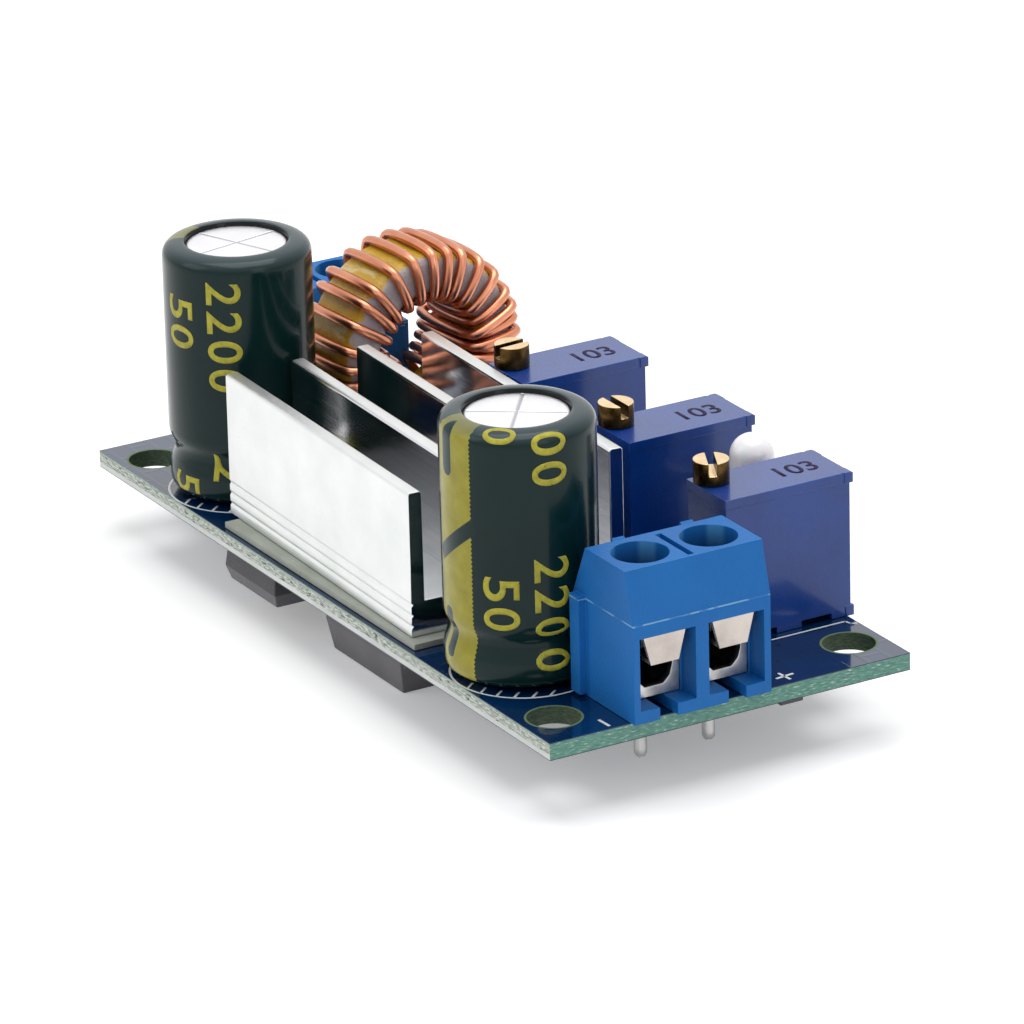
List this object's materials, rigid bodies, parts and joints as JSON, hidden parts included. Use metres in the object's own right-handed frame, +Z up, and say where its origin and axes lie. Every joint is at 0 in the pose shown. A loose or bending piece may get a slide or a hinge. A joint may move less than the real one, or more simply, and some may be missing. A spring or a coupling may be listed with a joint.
{
  "type": "buck converter module",
  "caption": "Small step-down converter board with screw terminals, tall capacitors, finned heatsink, wound ring choke, multi-turn trimmers and a lamp.",
  "frame": {"origin": "centre of the four mounting holes, on the underside of the board", "axes": "+X along the board to the output terminal, +Y across it to the trimmers, +Z up from the board"},
  "size_m": [0.0632, 0.0276, 0.0235],
  "materials": {
    "board_mask": "gloss",
    "can_sleeve": "gloss",
    "tinned_metal": "satin",
    "aluminium": "satin",
    "pad_rubber": "matte",
    "core_coating": "satin",
    "enamelled_copper": "gloss",
    "trimmer_blue": "gloss",
    "black_plastic": "matte",
    "brass": "satin",
    "ceramic": "matte",
    "lamp_epoxy": "gloss",
    "terminal_blue": "satin",
    "plated_steel": "satin"
  },
  "bodies": {
    "module": {"circuit_board": "board_mask", "input_capacitor": "can_sleeve", "input_capacitor_leads": "tinned_metal", "output_capacitor": "can_sleeve", "output_capacitor_leads": "tinned_metal", "heatsink": "aluminium", "thermal_pad": "pad_rubber", "inductor_core": "core_coating", "inductor_winding": "enamelled_copper", "trimmer_1_case": "trimmer_blue", "trimmer_1_base": "black_plastic", "trimmer_1_pins": "tinned_metal", "trimmer_1_element": "ceramic", "trimmer_2_case": "trimmer_blue", "trimmer_2_base": "black_plastic", "trimmer_2_pins": "tinned_metal", "trimmer_2_element": "ceramic", "trimmer_3_case": "trimmer_blue", "trimmer_3_base": "black_plastic", "trimmer_3_pins": "tinned_metal", "trimmer_3_element": "ceramic", "lamp_lens": "lamp_epoxy", "lamp_leads": "tinned_metal", "output_terminal_housing": "terminal_blue", "output_terminal_contacts": "tinned_metal", "output_terminal_leaves": "plated_steel", "input_terminal_housing": "terminal_blue", "input_terminal_contacts": "tinned_metal", "input_terminal_leaves": "plated_steel", "regulator_body": "black_plastic", "regulator_leads": "tinned_metal", "rectifier_body": "black_plastic", "rectifier_leads": "tinned_metal", "op_amp_body": "black_plastic", "op_amp_leads": "tinned_metal", "current_shunt": "black_plastic", "chip_resistors": "black_plastic", "chip_capacitors": "ceramic"},
    "trimmer_1_dial": {"trimmer_1_screw": "brass"},
    "trimmer_1_nut": {"trimmer_1_carriage": "black_plastic"},
    "trimmer_2_dial": {"trimmer_2_screw": "brass"},
    "trimmer_2_nut": {"trimmer_2_carriage": "black_plastic"},
    "trimmer_3_dial": {"trimmer_3_screw": "brass"},
    "trimmer_3_nut": {"trimmer_3_carriage": "black_plastic"},
    "output_terminal_clamp_1": {"output_terminal_screw_1": "plated_steel"},
    "output_terminal_clamp_2": {"output_terminal_screw_2": "plated_steel"},
    "input_terminal_clamp_1": {"input_terminal_screw_1": "plated_steel"},
    "input_terminal_clamp_2": {"input_terminal_screw_2": "plated_steel"}
  },
  "joints": [
    {"name": "trimmer_1_turn", "type": "hinge", "parent": "module", "child": "trimmer_1_dial", "pos_m": [-0.00588, 0.00537, 0.0113], "axis": [0, 0, 1], "range_deg": [-4320, 4320]},
    {"name": "trimmer_1_travel", "type": "slide", "parent": "module", "child": "trimmer_1_nut", "axis": [0, 0, 1], "range_m": [-0.003, 0.003]},
    {"name": "trimmer_2_turn", "type": "hinge", "parent": "module", "child": "trimmer_2_dial", "pos_m": [0.00746, 0.00553, 0.0113], "axis": [0, 0, 1], "range_deg": [-4320, 4320]},
    {"name": "trimmer_2_travel", "type": "slide", "parent": "module", "child": "trimmer_2_nut", "axis": [0, 0, 1], "range_m": [-0.003, 0.003]},
    {"name": "trimmer_3_turn", "type": "hinge", "parent": "module", "child": "trimmer_3_dial", "pos_m": [0.01974, 0.00532, 0.0113], "axis": [0, 0, 1], "range_deg": [-4320, 4320]},
    {"name": "trimmer_3_travel", "type": "slide", "parent": "module", "child": "trimmer_3_nut", "axis": [0, 0, 1], "range_m": [-0.003, 0.003]},
    {"name": "output_terminal_screw_1_turn", "type": "hinge", "parent": "module", "child": "output_terminal_clamp_1", "pos_m": [0.028, -0.00503, 0.0088], "axis": [0, 0, -1], "range_deg": [0, 1800]},
    {"name": "output_terminal_screw_2_turn", "type": "hinge", "parent": "module", "child": "output_terminal_clamp_2", "pos_m": [0.028, 0.00005, 0.0088], "axis": [0, 0, -1], "range_deg": [0, 1800]},
    {"name": "input_terminal_screw_1_turn", "type": "hinge", "parent": "module", "child": "input_terminal_clamp_1", "pos_m": [-0.02875, 0.00503, 0.0088], "axis": [0, 0, -1], "range_deg": [0, 1800]},
    {"name": "input_terminal_screw_2_turn", "type": "hinge", "parent": "module", "child": "input_terminal_clamp_2", "pos_m": [-0.02875, -0.00005, 0.0088], "axis": [0, 0, -1], "range_deg": [0, 1800]}
  ],
  "couplings": [
    {"joint": "trimmer_1_turn", "follows": "trimmer_1_travel", "rad_per_m": 25133},
    {"joint": "trimmer_2_turn", "follows": "trimmer_2_travel", "rad_per_m": 25133},
    {"joint": "trimmer_3_turn", "follows": "trimmer_3_travel", "rad_per_m": 25133}
  ]
}
